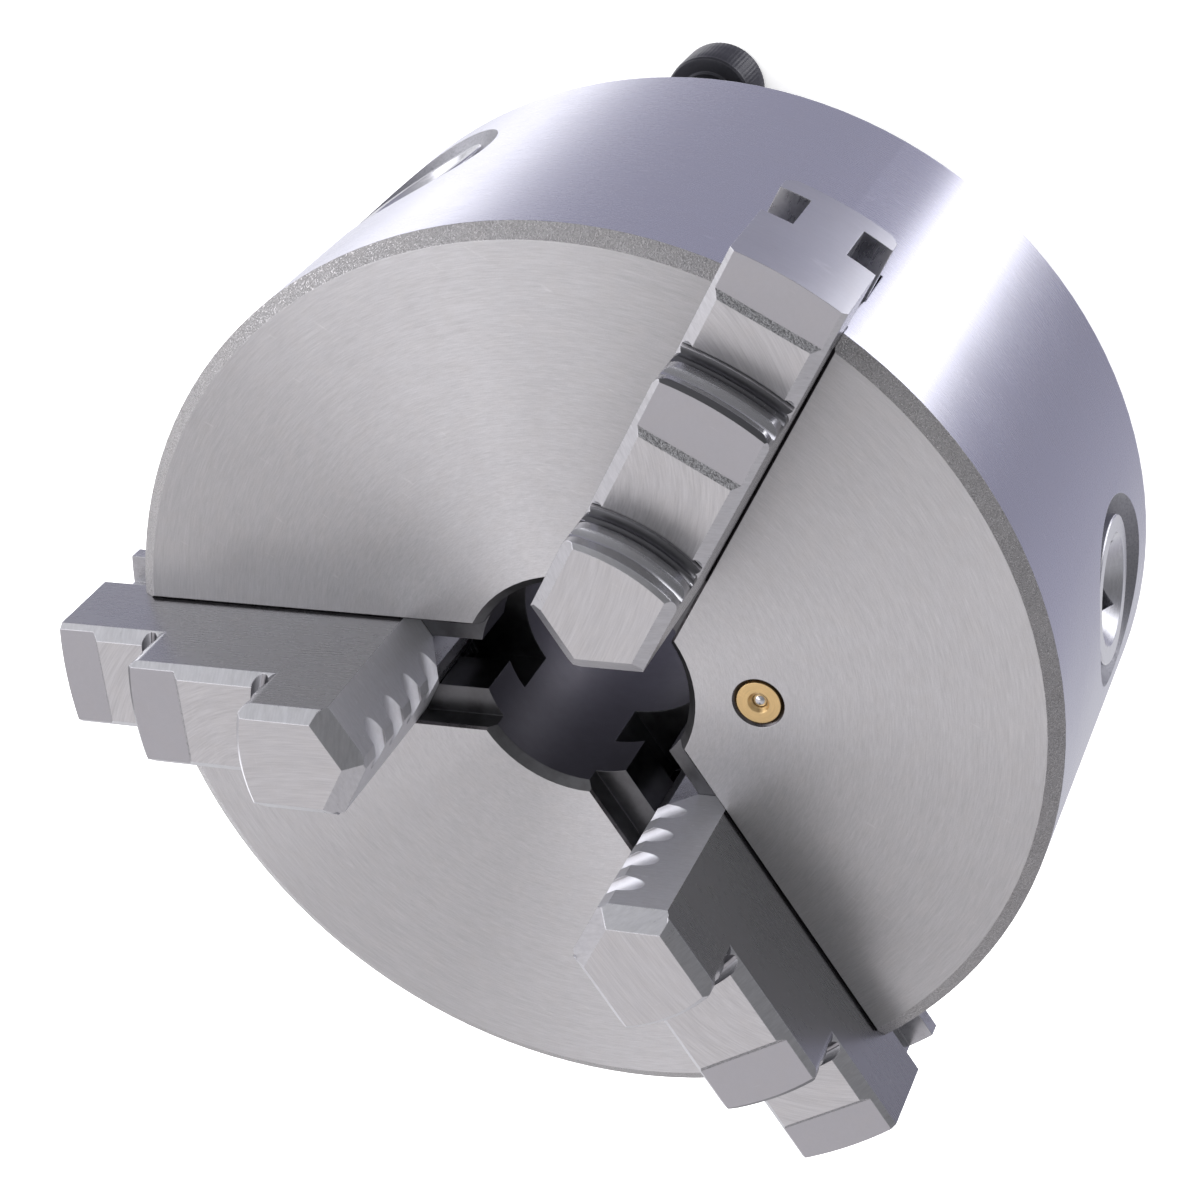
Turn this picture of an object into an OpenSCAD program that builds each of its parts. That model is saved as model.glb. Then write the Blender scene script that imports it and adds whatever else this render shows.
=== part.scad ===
// Three-jaw self-centring lathe chuck, 130 mm class, with one-piece stepped jaws.
// Millimetres. +Z is the spindle axis toward the jaws, z = 0 is the rear mounting face,
// the origin lies on the spindle axis, and jaw 1 slides along +X.

/* [Body] */
// outside diameter of the chuck body
body_diameter = 130; // [128:0.5:132]
// length of the body from rear face to front face
body_length = 60; // [59:0.25:62]
// diameter of the through bore
bore_diameter = 30.5; // [26:0.25:31]
// diameter of the register recess in the rear face
register_diameter = 100; // [98:0.25:101]
// depth of the register recess
register_depth = 3.5; // [3:0.25:4]
// axial size of the front outer chamfer
front_chamfer_length = 1.5; // [0.5:0.25:2]
// radial size of the front outer chamfer
front_chamfer_width = 2; // [1:0.25:3]

/* [Jaws] */
// radius of the gripping land from the chuck axis with the jaws as modelled
land_radius = 20.5; // [19:0.25:21.5]
// full width of a jaw
jaw_width = 15.8; // [15:0.1:16]
// height of the tall inner step above the body face
step_1_height = 26.2; // [24:0.2:28]
// height of the middle step above the body face
step_2_height = 18.4; // [17:0.2:19]
// height of the low outer step above the body face
step_3_height = 10.4; // [9.5:0.2:11]
// width of the long side chamfers on the steps
jaw_chamfer = 1.6; // [1:0.1:2]

/* [Scroll and pinions] */
// radial pitch of the scroll spiral
scroll_pitch = 8; // [7.5:0.1:8.5]
// across-flats size of the square key socket in a pinion
key_square = 10; // [8:0.5:10]
// diameter of a pinion shank
pinion_diameter = 20.8; // [20:0.2:21]

/* [Fasteners] */
// pitch circle diameter of the rear mounting screws
mount_circle_diameter = 115; // [112:0.5:118]
// thread diameter of a mounting screw
mount_screw_diameter = 8; // [6:1:8]
// gap between the rear face and the underside of a mounting screw head
mount_screw_stand_off = 11; // [8:0.5:14]

/* [Hidden] */
$fn = 96;
over = 1;                       // overshoot of cutters past a surface
body_r = body_diameter / 2;
face_z = body_length;
bore_r = bore_diameter / 2;
bore_chamfer = 1.2;
register_r = register_diameter / 2;
rear_chamfer = 1.5;

hub_r = 24.8;                   // sleeve the scroll turns on
hub_end_z = 10.5;
cavity_r = 48;                  // bore that holds cover and scroll
cavity_top_z = face_z - 14.8;

jaw_half = jaw_width / 2;
slide_gap = 0.04;               // running gap each side of a jaw
slot_half = jaw_half + slide_gap;
slot_floor_z = face_z - 20;
slot_edge_break = 0.35;
slot_inner_x = 8;
guide_top_z = face_z - 3.5;     // side grooves of the jaws
guide_bottom_z = face_z - 11.5;
tongue_half = 3.7;
rail_half = 3.8;
rail_gap = 0.05;
jaw_bottom_z = face_z - 15;
jaw_bottom_chamfer = 1.2;
jaw_count = 3;
jaw_step_angle = 360 / jaw_count;
pinion_first_angle = 60;
screw_first_angle = 30;

arc_centre_x = land_radius - 6.5;   // centre of the step walls with the jaws as modelled
wall_1_r = 23.8;
wall_2_r = 44.1;
jaw_end_r = 58.8;
wall_edge_r = 2;                // rounded vertical edges of the step walls
wall_top_chamfer = 0.6;
wall_groove_r = 1.2;            // gripping grooves round each step wall
wall_groove_offset = 0.2;
wall_groove_rise = 0.6;         // lower groove above its seat
wall_groove_pitch = 3.9;
root_groove_r = 1.05;
root_groove_drop = 0.4;
root_groove_shift = 0.5;
relief_2_x = land_radius + 29.1;
relief_3_x = land_radius + 45.7;
relief_2_drop = 0.8;
relief_3_drop = 0.9;
relief_ramp = 0.8;
relief_reach = 20;
jaw_reach = 60;                 // longer than any jaw
jaw_tall = 45;                  // taller than any jaw
land_half = 0.9;
flat_angle = 30;                // slope of the two flats beside the land
nose_chamfer = 1.5;
land_groove_r = 1.65;
land_groove_top = 7.2;          // first land groove below the jaw top
land_groove_pitch = 5.87;
land_groove_count = 4;
land_groove_width = 12;

tooth_bottom_z = face_z - 19.4;
tooth_thickness = 3.4;
tooth_half_width = 7.4;
tooth_outer_r = 25;
tooth_inner_r = 47;
tooth_tilt = 2;
tooth_count = 5;
first_tooth_x = land_radius + 6;

scroll_bore_r = hub_r + 0.06;
scroll_r = cavity_r - 0.5;
scroll_face_z = face_z - 19.8;  // floor of the spiral groove
ridge_top_z = face_z - 15.4;
ridge_width = 3.8;
ridge_inner_r = 25.6;
scroll_hub_z = 30.8;
bevel_inner_r = 32.5;
bevel_outer_r = 43.5;

pinion_z = 21.5;                // height of the pinion axes
pinion_r = pinion_diameter / 2;
pinion_gap = 0.05;
pinion_face_x = body_r - 1;
scroll_teeth = 45;
pinion_teeth = 9;
gear_mid_x = 38;                // mid face of the bevel teeth
gear_inner_x = 33;
gear_outer_x = 43;
core_inner_x = 32.6;
core_outer_x = 43.3;
pinion_pitch_r = gear_mid_x * pinion_teeth / scroll_teeth;
pressure_angle = 25;
tooth_half_thickness = 1.239;
scroll_tip_rise = 6.23;         // tip and root of the scroll teeth above the pinion axis
scroll_root_rise = 9.78;
pinion_root_r = 5.8;
pinion_tip_r = 9.04;
involute_mid_r = 7.5;           // radii at which the tooth flanks have a corner
involute_high_r = 8.25;
tooth_burial = 1.5;             // depth of the teeth inside their core
spigot_r = 4;
spigot_tip_x = 19;
spigot_end_gap = 0.8;
shank_inner_x = 45;
collar_r = 7.5;
shank_chamfer = 0.2;
socket_depth = 16;
socket_lead_r = 7.9;            // cone that leads the key into the socket
socket_lead_inner_r = 4;
socket_lead_depth = 3.9;
socket_drill_r = 4.5;
socket_drill_depth = 18.6;
retain_x = body_r - 8;          // retaining groove of a pinion
retain_width = 5.4;
retain_r = 8.2;
mouth_x = 61.15;                // where the pinion bore starts to flare

retain_screw_r = 3;             // headless screws that hold the pinions in
retain_screw_gap = 0.03;
retain_screw_start_z = 0.4;
retain_screw_chamfer = 0.4;
retain_screw_end_z = 9.4;
retain_dog_r = 2.35;
retain_dog_end_z = 12.9;
retain_dog_gap = 0.15;
retain_hole_depth = 9.6;
retain_slot_width = 1;
retain_slot_depth = 1.6;

cover_bore_r = 15.8;
cover_r = cavity_r - 0.05;
cover_top_z = hub_end_z;
boss_inner_r = 25.2;
boss_outer_r = 31;
boss_top_z = scroll_hub_z - 0.08;
cover_screw_r = 20.2;           // distance of the cover screws from the axis
cover_head_r = 3.4;
cover_head_z = 3.9;
cover_head_height = 4;
cover_head_chamfer = 0.3;
cover_head_gap = 0.15;
cover_shank_r = 2;
cover_shank_gap = 0.2;
cover_thread_gap = 0.02;
cover_shank_length = 10;
cover_hole_end_z = 19;
cover_hex = 3;
cover_hex_depth = 2.2;
spigot_slot_gap = 0.5;          // room round the pinion spigots in the cover boss

mount_screw_r = mount_screw_diameter / 2;
mount_r = mount_circle_diameter / 2;
mount_head_r = 6.5;
mount_head_height = 8;
mount_head_chamfer = 0.6;
mount_hex = 6;
mount_hex_depth = 4.2;
mount_hole_depth = 20;
mount_hole_gap = 0.02;
mount_hole_chamfer = 0.8;
mount_thread_end_z = 15;
mount_tip_length = 1;
mount_tip_chamfer = 0.8;

oiler_r = 25.1;
oiler_angle = 300;
oiler_body_r = 3;
oiler_bottom_z = face_z - 6.5;
oiler_top_z = face_z - 0.1;
oiler_ball_r = 1.15;
oiler_seat_r = 1.05;
oiler_seat_z = oiler_top_z - 0.9;
oiler_ball_z = oiler_seat_z - sqrt(pow(oiler_ball_r, 2) - pow(oiler_seat_r, 2)) - 0.01;
oiler_chamber_r = 1.3;
oiler_chamber_z = oiler_bottom_z + 0.7;
oiler_outlet_r = 0.6;
oiler_corner = 0.2;
oiler_rim = 0.45;
oiler_lip = 0.3;                // bore above the ball seat
oiler_shoulder = 0.4;
oiler_mouth_chamfer = 0.6;
oil_duct_r = 1.5;
spring_inner_r = 0.68;
spring_outer_r = 0.92;
spring_turns = 5;
spring_half_section = 70;       // half angle that one turn's wire covers in a level cut
spring_end_gap = 0.02;

steel = [0.74, 0.74, 0.76];
dark_steel = [0.36, 0.36, 0.39];
black_oxide = [0.07, 0.07, 0.08];
brass = [0.78, 0.6, 0.3];

// ---------- helpers ----------

// places children outward at an angle round the spindle axis
module at_angle(angle) rotate([0, 0, angle]) children();

// repeats children three times round the spindle axis
module three_times(first_angle)
    for (i = [0 : jaw_count - 1]) at_angle(first_angle + i * jaw_step_angle) children();

// runs a section drawn in Y-Z outward along X
module along_x(from_x, to_x)
    translate([from_x, 0, 0]) rotate([90, 0, 90]) linear_extrude(to_x - from_x) children();

// runs a section drawn in X-Z across Y
module across_y(width) rotate([90, 0, 0]) linear_extrude(width, center = true) children();

// cylinder lying along X
module x_rod(radius, from_x, to_x)
    translate([from_x, 0, 0]) rotate([0, 90, 0]) cylinder(r = radius, h = to_x - from_x);

// cone lying along X
module x_cone(from_r, to_r, from_x, to_x)
    translate([from_x, 0, 0]) rotate([0, 90, 0]) cylinder(r1 = from_r, r2 = to_r, h = to_x - from_x);

// ring with a rectangular section
module ring(inner_r, outer_r, from_z, to_z)
    translate([0, 0, from_z]) linear_extrude(to_z - from_z) difference() {
        circle(outer_r);
        circle(inner_r);
    }

// hexagon socket recess that opens downward
module hex_recess(across_flats, from_z, to_z)
    translate([0, 0, from_z]) cylinder(r = across_flats / sqrt(3), h = to_z - from_z, $fn = 6);

// ---------- chuck body ----------

module body_blank() rotate_extrude() polygon([
    [bore_r, hub_end_z], [hub_r, hub_end_z], [hub_r, cavity_top_z], [cavity_r, cavity_top_z],
    [cavity_r, register_depth], [register_r, register_depth], [register_r, 0],
    [body_r - rear_chamfer, 0], [body_r, rear_chamfer], [body_r, face_z - front_chamfer_length],
    [body_r - front_chamfer_width, face_z], [bore_r + bore_chamfer, face_z],
    [bore_r, face_z - bore_chamfer]]);

module slot_section() {
    lip = slot_half + slot_edge_break + over;
    shoulder_z = face_z - slot_edge_break;
    polygon([
        [-slot_half, slot_floor_z], [slot_half, slot_floor_z],
        [slot_half, guide_bottom_z + rail_gap], [rail_half, guide_bottom_z + rail_gap],
        [rail_half, guide_top_z - rail_gap], [slot_half, guide_top_z - rail_gap],
        [slot_half, shoulder_z], [lip, face_z + over], [-lip, face_z + over], [-slot_half, shoulder_z],
        [-slot_half, guide_top_z - rail_gap], [-rail_half, guide_top_z - rail_gap],
        [-rail_half, guide_bottom_z + rail_gap], [-slot_half, guide_bottom_z + rail_gap]]);
}

module pinion_bore() translate([0, 0, pinion_z]) {
    x_rod(pinion_r + pinion_gap, cavity_r - 3, body_r + over);
    x_cone(pinion_r + pinion_gap, pinion_r + pinion_gap + body_r + over - mouth_x, mouth_x, body_r + over);
    x_rod(spigot_r + pinion_gap, spigot_tip_x - spigot_end_gap, hub_r + over);
}

module pinion_screw_hole() translate([retain_x, 0, 0]) {
    translate([0, 0, -over]) cylinder(r = retain_screw_r + retain_screw_gap, h = retain_hole_depth + over);
    cylinder(r = retain_dog_r + retain_dog_gap, h = pinion_z - pinion_r + over);
}

module mount_hole() translate([mount_r, 0, 0]) {
    translate([0, 0, -over]) cylinder(r = mount_screw_r + mount_hole_gap, h = mount_hole_depth + over);
    flare = mount_hole_chamfer + over;
    translate([0, 0, -over]) cylinder(r1 = mount_screw_r + flare, r2 = mount_screw_r, h = flare);
}

module oiler_hole() translate([oiler_r, 0, 0]) {
    translate([0, 0, oiler_bottom_z]) cylinder(r = oiler_body_r, h = face_z - oiler_bottom_z + over);
    translate([0, 0, cavity_top_z - over]) cylinder(r = oil_duct_r, h = face_z - cavity_top_z + over);
    flare = oiler_mouth_chamfer + over;
    translate([0, 0, face_z - oiler_mouth_chamfer])
        cylinder(r1 = oiler_body_r, r2 = oiler_body_r + flare, h = flare);
}

module chuck_body() color(steel) difference() {
    body_blank();
    three_times(0) along_x(slot_inner_x, body_r + over) slot_section();
    three_times(pinion_first_angle) pinion_bore();
    three_times(pinion_first_angle) pinion_screw_hole();
    three_times(screw_first_angle) mount_hole();
    three_times(0) translate([cover_screw_r, 0, 0])
        cylinder(r = cover_shank_r + cover_thread_gap, h = cover_hole_end_z);
    at_angle(oiler_angle) oiler_hole();
}

// ---------- rear cover ----------

module rear_cover() color(steel) difference() {
    union() {
        ring(cover_bore_r, cover_r, register_depth, cover_top_z);
        ring(boss_inner_r, boss_outer_r, cover_top_z - over, boss_top_z);
    }
    three_times(pinion_first_angle) translate([0, 0, pinion_z])
        x_rod(spigot_r + spigot_slot_gap, boss_inner_r - over, boss_outer_r + over);
    three_times(0) translate([cover_screw_r, 0, 0]) {
        cylinder(r = cover_head_r + cover_head_gap, h = cover_head_z + cover_head_height);
        cylinder(r = cover_shank_r + cover_shank_gap, h = cover_top_z + over);
    }
}

module cover_screw(number) color(black_oxide) at_angle((number - 1) * jaw_step_angle)
    translate([cover_screw_r, 0, cover_head_z]) difference() {
        union() {
            cylinder(r1 = cover_head_r - cover_head_chamfer, r2 = cover_head_r, h = cover_head_chamfer);
            translate([0, 0, cover_head_chamfer])
                cylinder(r = cover_head_r, h = cover_head_height - cover_head_chamfer);
            translate([0, 0, cover_head_height]) cylinder(r = cover_shank_r, h = cover_shank_length);
        }
        hex_recess(cover_hex, -over, cover_hex_depth);
    }

// ---------- scroll ----------

// radius of the middle of the spiral ridge at a turn angle
function ridge_radius(turn) = first_tooth_x - scroll_pitch / 2 + scroll_pitch * turn / 360;

function spiral_side(offset, angles) =
    [for (a = angles) (ridge_radius(a) + offset) * [cos(a), sin(a)]];

module spiral_ridge() {
    last = 1200;
    step = 5;
    outward = [for (a = [0 : step : last]) a];
    inward = [for (a = [last : -step : 0]) a];
    intersection() {
        translate([0, 0, scroll_face_z - over]) linear_extrude(ridge_top_z - scroll_face_z + over)
            polygon(concat(spiral_side(ridge_width / 2, outward), spiral_side(-ridge_width / 2, inward)));
        ring(ridge_inner_r, scroll_r, scroll_face_z - 2, ridge_top_z);
    }
}

// closed wedge whose long edges all point at the crossing of the spindle and pinion axes; each corner
// of the convex outline is [across, up] at the mid face
module tapered_tooth(outline) {
    n = len(outline);
    function section(x) = [for (p = outline) [x, p[0] * x / gear_mid_x, p[1] * x / gear_mid_x]];
    polyhedron(concat(section(gear_inner_x), section(gear_outer_x)), concat(
        [[for (i = [0 : n - 1]) i]], [[for (i = [n - 1 : -1 : 0]) n + i]],
        [for (i = [0 : n - 1]) [(i + 1) % n, i, n + i, n + (i + 1) % n]]));
}

function scroll_half_width(rise) = tooth_half_thickness + (rise - pinion_pitch_r) * tan(pressure_angle);
function scroll_root_z(r) = pinion_z + scroll_root_rise * r / gear_mid_x;

// bevel teeth on the back of the scroll
module scroll_bevel() {
    root = scroll_half_width(scroll_root_rise);
    tip = scroll_half_width(scroll_tip_rise);
    deep = scroll_root_rise + tooth_burial;
    for (t = [0 : scroll_teeth - 1])
        at_angle(pinion_first_angle + (t + 0.5) * 360 / scroll_teeth) translate([0, 0, pinion_z])
            tapered_tooth([[-root, deep], [-root, scroll_root_rise], [-tip, scroll_tip_rise],
                [tip, scroll_tip_rise], [root, scroll_root_rise], [root, deep]]);
}

module scroll() color(dark_steel) union() {
    rotate_extrude() polygon([
        [scroll_bore_r, scroll_hub_z], [bevel_inner_r, scroll_hub_z],
        [bevel_inner_r, scroll_root_z(bevel_inner_r)],
        [bevel_outer_r, scroll_root_z(bevel_outer_r)], [scroll_r, scroll_root_z(bevel_outer_r)],
        [scroll_r, scroll_face_z], [scroll_bore_r, scroll_face_z]]);
    spiral_ridge();
    scroll_bevel();
}

// ---------- pinions ----------

function involute(angle) = tan(angle) - angle * PI / 180;

// half angle of a pinion tooth at a radius, involute above the base circle and radial below it
function pinion_half_angle(radius) =
    let (base_r = pinion_pitch_r * cos(pressure_angle), r = max(radius, base_r))
    (tooth_half_thickness / pinion_pitch_r + involute(pressure_angle)
        - involute(acos(base_r / r))) * 180 / PI;

// core cone and bevel teeth of a pinion, with one tooth pointing along +Z
module pinion_gear() {
    radii = [pinion_root_r - tooth_burial, pinion_pitch_r * cos(pressure_angle),
        involute_mid_r, involute_high_r, pinion_tip_r];
    right = [for (r = radii) r * [sin(pinion_half_angle(r)), cos(pinion_half_angle(r))]];
    left = [for (i = [len(radii) - 1 : -1 : 0]) [-right[i][0], right[i][1]]];
    x_cone(pinion_root_r * core_inner_x / gear_mid_x, pinion_root_r * core_outer_x / gear_mid_x,
        core_inner_x, core_outer_x);
    for (t = [0 : pinion_teeth - 1])
        rotate([t * 360 / pinion_teeth, 0, 0]) tapered_tooth(concat(right, left));
}

module pinion(number) color(steel) at_angle(pinion_first_angle + (number - 1) * jaw_step_angle)
    translate([0, 0, pinion_z]) difference() {
        union() {
            pinion_gear();
            x_rod(spigot_r, spigot_tip_x, gear_inner_x + over);
            x_rod(collar_r, core_outer_x, shank_inner_x + over);
            x_rod(pinion_r, shank_inner_x, pinion_face_x - shank_chamfer);
            x_cone(pinion_r, pinion_r - shank_chamfer, pinion_face_x - shank_chamfer, pinion_face_x);
        }
        translate([retain_x, 0, 0]) rotate([0, 90, 0]) difference() {
            cylinder(r = pinion_r + over, h = retain_width, center = true);
            cylinder(r = retain_r, h = retain_width + over, center = true);
        }
        translate([pinion_face_x - socket_depth, -key_square / 2, -key_square / 2])
            cube([socket_depth + over, key_square, key_square]);
        x_cone(socket_lead_inner_r, socket_lead_r + over,
            pinion_face_x - socket_lead_depth, pinion_face_x + over);
        x_cone(0, socket_drill_r, pinion_face_x - socket_drill_depth, pinion_face_x - socket_depth);
    }

module pinion_screw(number) color(dark_steel)
    at_angle(pinion_first_angle + (number - 1) * jaw_step_angle)
    translate([retain_x, 0, retain_screw_start_z]) {
        thread_end = retain_screw_end_z - retain_screw_start_z;
        dog_end = retain_dog_end_z - retain_screw_start_z;
        slot_reach = retain_screw_r + over;
        difference() {
            union() {
                cylinder(r1 = retain_screw_r - retain_screw_chamfer, r2 = retain_screw_r,
                    h = retain_screw_chamfer);
                translate([0, 0, retain_screw_chamfer])
                    cylinder(r = retain_screw_r, h = thread_end - retain_screw_chamfer);
                translate([0, 0, thread_end - over])
                    cylinder(r = retain_dog_r, h = dog_end - thread_end + over);
            }
            translate([-slot_reach, -retain_slot_width / 2, -over])
                cube([2 * slot_reach, retain_slot_width, retain_slot_depth + over]);
        }
    }

// ---------- jaws ----------

// plan outline from the gripping land outward, wide open at the far end
module nose_plan() {
    rise = (jaw_half + over - land_half) * tan(flat_angle);
    side = jaw_half + over;
    far_x = land_radius + jaw_reach;
    polygon([[land_radius, -land_half], [land_radius + rise, -side], [far_x, -side],
        [far_x, side], [land_radius + rise, side], [land_radius, land_half]]);
}

// jaw strip that ends in an arc with rounded vertical edges
module rounded_end(wall_r, edge_r) {
    edge_y = jaw_half - edge_r;
    edge_x = arc_centre_x + sqrt(pow(wall_r - edge_r, 2) - pow(edge_y, 2));
    tangent_y = edge_y * wall_r / (wall_r - edge_r);
    translate([land_radius - over, -jaw_half]) square([edge_x - land_radius + over, 2 * jaw_half]);
    intersection() {
        translate([arc_centre_x, 0]) circle(wall_r);
        translate([land_radius - over, -tangent_y]) square([jaw_reach, 2 * tangent_y]);
    }
    for (side = [-1, 1]) translate([edge_x, side * edge_y]) circle(edge_r);
}

// across-the-jaw section of one step with chamfered long edges
module step_section(top_z, half, chamfer, bottom_z) polygon([
    [-half, bottom_z], [half, bottom_z], [half, top_z - chamfer], [half - chamfer, top_z],
    [-half + chamfer, top_z], [-half, top_z - chamfer]]);

module step_column(height, wall_r) intersection() {
    translate([0, 0, guide_top_z - over]) linear_extrude(jaw_tall) intersection() {
        rounded_end(wall_r, wall_edge_r);
        nose_plan();
    }
    along_x(land_radius - over, land_radius + jaw_reach)
        step_section(face_z + height, jaw_half, jaw_chamfer, guide_top_z);
}

// end plan of the low step and of the guide parts
module end_plan() intersection() {
    translate([arc_centre_x, 0]) circle(jaw_end_r);
    nose_plan();
}

module low_column() intersection() {
    translate([0, 0, guide_top_z - over]) linear_extrude(jaw_tall) end_plan();
    along_x(land_radius - over, land_radius + jaw_reach)
        step_section(face_z + step_3_height, jaw_half, jaw_chamfer, guide_top_z);
}

module guide_parts() intersection() {
    translate([0, 0, jaw_bottom_z - over]) linear_extrude(jaw_tall) end_plan();
    union() {
        along_x(land_radius - over, land_radius + jaw_reach)
            translate([-tongue_half, jaw_bottom_z + over])
                square([2 * tongue_half, guide_top_z - jaw_bottom_z]);
        along_x(land_radius - over, land_radius + jaw_reach) polygon([
            [-jaw_half, guide_bottom_z], [-jaw_half, jaw_bottom_z + jaw_bottom_chamfer],
            [-jaw_half + jaw_bottom_chamfer, jaw_bottom_z], [jaw_half - jaw_bottom_chamfer, jaw_bottom_z],
            [jaw_half, jaw_bottom_z + jaw_bottom_chamfer], [jaw_half, guide_bottom_z]]);
    }
}

// gripping grooves, top edge chamfer and root groove of one outer step wall
module wall_cuts(wall_r, top_z, seat_z) translate([arc_centre_x, 0, 0]) rotate_extrude() {
    for (i = [0, 1])
        translate([wall_r + wall_groove_offset, seat_z + wall_groove_rise + i * wall_groove_pitch])
            circle(wall_groove_r, $fn = 32);
    translate([wall_r + root_groove_shift, seat_z - root_groove_drop]) circle(root_groove_r, $fn = 32);
    polygon([[wall_r - wall_top_chamfer, top_z], [wall_r + over, top_z],
        [wall_r + over, top_z - wall_top_chamfer - over]]);
}

// lowers the outer part of a seat behind a short ramp
module relief_cut(start_x, seat_z, drop) across_y(jaw_width + 2 * over) polygon([
    [start_x, seat_z], [start_x + relief_ramp, seat_z - drop], [start_x + relief_reach, seat_z - drop],
    [start_x + relief_reach, seat_z + over], [start_x - relief_ramp / drop, seat_z + over]]);

// 45 degree chamfer along the top edge of one face of the nose
module nose_edge(distance) translate([distance, 0, face_z + step_1_height])
    across_y(jaw_width + 4 * over)
        polygon([[nose_chamfer + over, over], [-over, over], [-over, -nose_chamfer - over]]);

module nose_chamfers() {
    nose_edge(land_radius);
    for (side = [-1, 1]) translate([land_radius, side * land_half, 0]) rotate([0, 0, side * flat_angle])
        translate([-land_radius, 0, 0]) nose_edge(land_radius);
}

module land_grooves() for (i = [0 : land_groove_count - 1])
    translate([land_radius, 0, face_z + step_1_height - land_groove_top - i * land_groove_pitch])
        rotate([90, 0, 0]) cylinder(r = land_groove_r, h = land_groove_width, center = true, $fn = 48);

// crescent tooth that rides in the spiral groove
module scroll_tooth() linear_extrude(jaw_bottom_z - tooth_bottom_z + over) intersection() {
    translate([tooth_thickness / 2 - tooth_outer_r, 0]) circle(tooth_outer_r);
    square([3 * tooth_thickness, 2 * tooth_half_width], center = true);
    difference() {
        square(4 * tooth_half_width, center = true);
        translate([-tooth_thickness / 2 - tooth_inner_r, 0]) circle(tooth_inner_r);
    }
}

module jaw(number) color(steel) at_angle((number - 1) * jaw_step_angle) union() {
    difference() {
        union() {
            step_column(step_1_height, wall_1_r);
            step_column(step_2_height, wall_2_r);
            low_column();
            guide_parts();
        }
        wall_cuts(wall_1_r, face_z + step_1_height, face_z + step_2_height);
        wall_cuts(wall_2_r, face_z + step_2_height - relief_2_drop, face_z + step_3_height);
        relief_cut(relief_2_x, face_z + step_2_height, relief_2_drop);
        relief_cut(relief_3_x, face_z + step_3_height, relief_3_drop);
        nose_chamfers();
        land_grooves();
    }
    for (i = [0 : tooth_count - 1])
        translate([first_tooth_x + scroll_pitch * (i + (number - 1) / jaw_count), 0, tooth_bottom_z])
            rotate([0, 0, -tooth_tilt]) scroll_tooth();
}

// ---------- mounting screws ----------

module mounting_screw(number) color(black_oxide)
    at_angle(screw_first_angle + (number - 1) * jaw_step_angle) translate([mount_r, 0, 0]) difference() {
        head_z = -mount_screw_stand_off - mount_head_height;
        tip_z = mount_thread_end_z - mount_tip_length;
        union() {
            translate([0, 0, head_z])
                cylinder(r1 = mount_head_r - mount_head_chamfer, r2 = mount_head_r, h = mount_head_chamfer);
            translate([0, 0, head_z + mount_head_chamfer])
                cylinder(r = mount_head_r, h = mount_head_height - mount_head_chamfer);
            translate([0, 0, -mount_screw_stand_off])
                cylinder(r = mount_screw_r, h = tip_z + mount_screw_stand_off);
            translate([0, 0, tip_z])
                cylinder(r1 = mount_screw_r, r2 = mount_screw_r - mount_tip_chamfer, h = mount_tip_length);
        }
        hex_recess(mount_hex, head_z - over, head_z + mount_hex_depth);
    }

// ---------- ball oiler ----------

module at_oiler() at_angle(oiler_angle) translate([oiler_r, 0, 0]) children();

module oiler_body() color(brass) at_oiler() rotate_extrude() polygon([
    [oiler_outlet_r, oiler_bottom_z], [oiler_body_r - oiler_corner, oiler_bottom_z],
    [oiler_body_r, oiler_bottom_z + oiler_corner], [oiler_body_r, oiler_top_z],
    [oiler_seat_r + oiler_rim, oiler_top_z], [oiler_seat_r, oiler_seat_z + oiler_lip],
    [oiler_seat_r, oiler_seat_z], [oiler_chamber_r, oiler_seat_z - oiler_shoulder],
    [oiler_chamber_r, oiler_chamber_z], [oiler_outlet_r, oiler_chamber_z]]);

module oiler_ball() color(steel) at_oiler() translate([0, 0, oiler_ball_z]) sphere(oiler_ball_r);

// level cut through the spring wire, a slice of a ring
module wire_section() {
    angles = [-spring_half_section : 35 : spring_half_section];
    polygon(concat([for (a = angles) spring_outer_r * [cos(a), sin(a)]],
        [for (a = angles) spring_inner_r * [cos(-a), sin(-a)]]));
}

module oiler_spring() color(steel) at_oiler() translate([0, 0, oiler_chamber_z])
    linear_extrude(oiler_ball_z - oiler_ball_r - oiler_chamber_z - spring_end_gap,
        twist = -360 * spring_turns, $fn = 12)
        wire_section();

// ---------- nodes ----------

chuck_body();
rear_cover();
scroll();
pinion(1);  // pinion_1
pinion(2);  // pinion_2
pinion(3);  // pinion_3
pinion_screw(1);  // pinion_screw_1
pinion_screw(2);  // pinion_screw_2
pinion_screw(3);  // pinion_screw_3
jaw(1);  // jaw_1
jaw(2);  // jaw_2
jaw(3);  // jaw_3
cover_screw(1);  // cover_screw_1
cover_screw(2);  // cover_screw_2
cover_screw(3);  // cover_screw_3
mounting_screw(1);  // mounting_screw_1
mounting_screw(2);  // mounting_screw_2
mounting_screw(3);  // mounting_screw_3
oiler_body();
oiler_ball();
oiler_spring();
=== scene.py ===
"""Looks for the three-jaw lathe chuck: its metals, screws, oiler spring and studio."""

import math

import bpy
from mathutils import Matrix, Vector


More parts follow.
